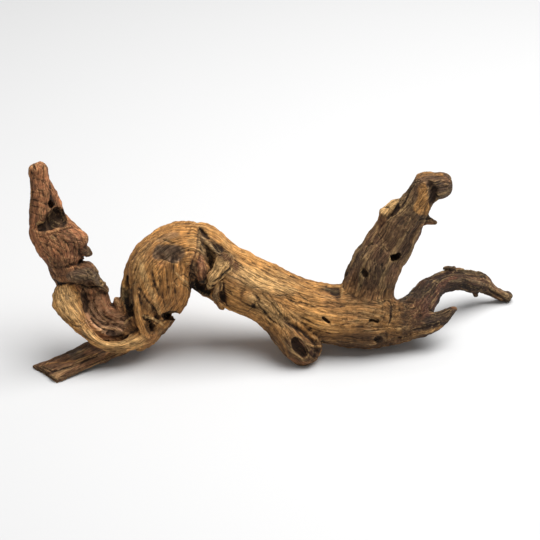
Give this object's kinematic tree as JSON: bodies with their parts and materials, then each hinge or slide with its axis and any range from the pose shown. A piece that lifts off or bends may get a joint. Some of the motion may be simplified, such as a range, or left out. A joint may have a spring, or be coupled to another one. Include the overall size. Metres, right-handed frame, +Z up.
{
  "type": "mopani wood",
  "caption": "Weathered mopani driftwood grown as one piece: an arched stem with a horn, a scooped cup and a plank foot at its left, a raised branch and a creeping root at its right.",
  "frame": {"origin": "under the middle of the wood's box, on the surface that it lies on", "axes": "+X to the right as seen from the front, from the horn to the root's tip; -Y to the viewer; +Z up"},
  "size_m": [0.4912, 0.1612, 0.2016],
  "materials": {
    "weathered_wood": "dry and matt, blasted along the grain, golden with red brown, grey and dark patches"
  },
  "bodies": {
    "root": {"mopani_wood": "weathered_wood"}
  },
  "joints": []
}
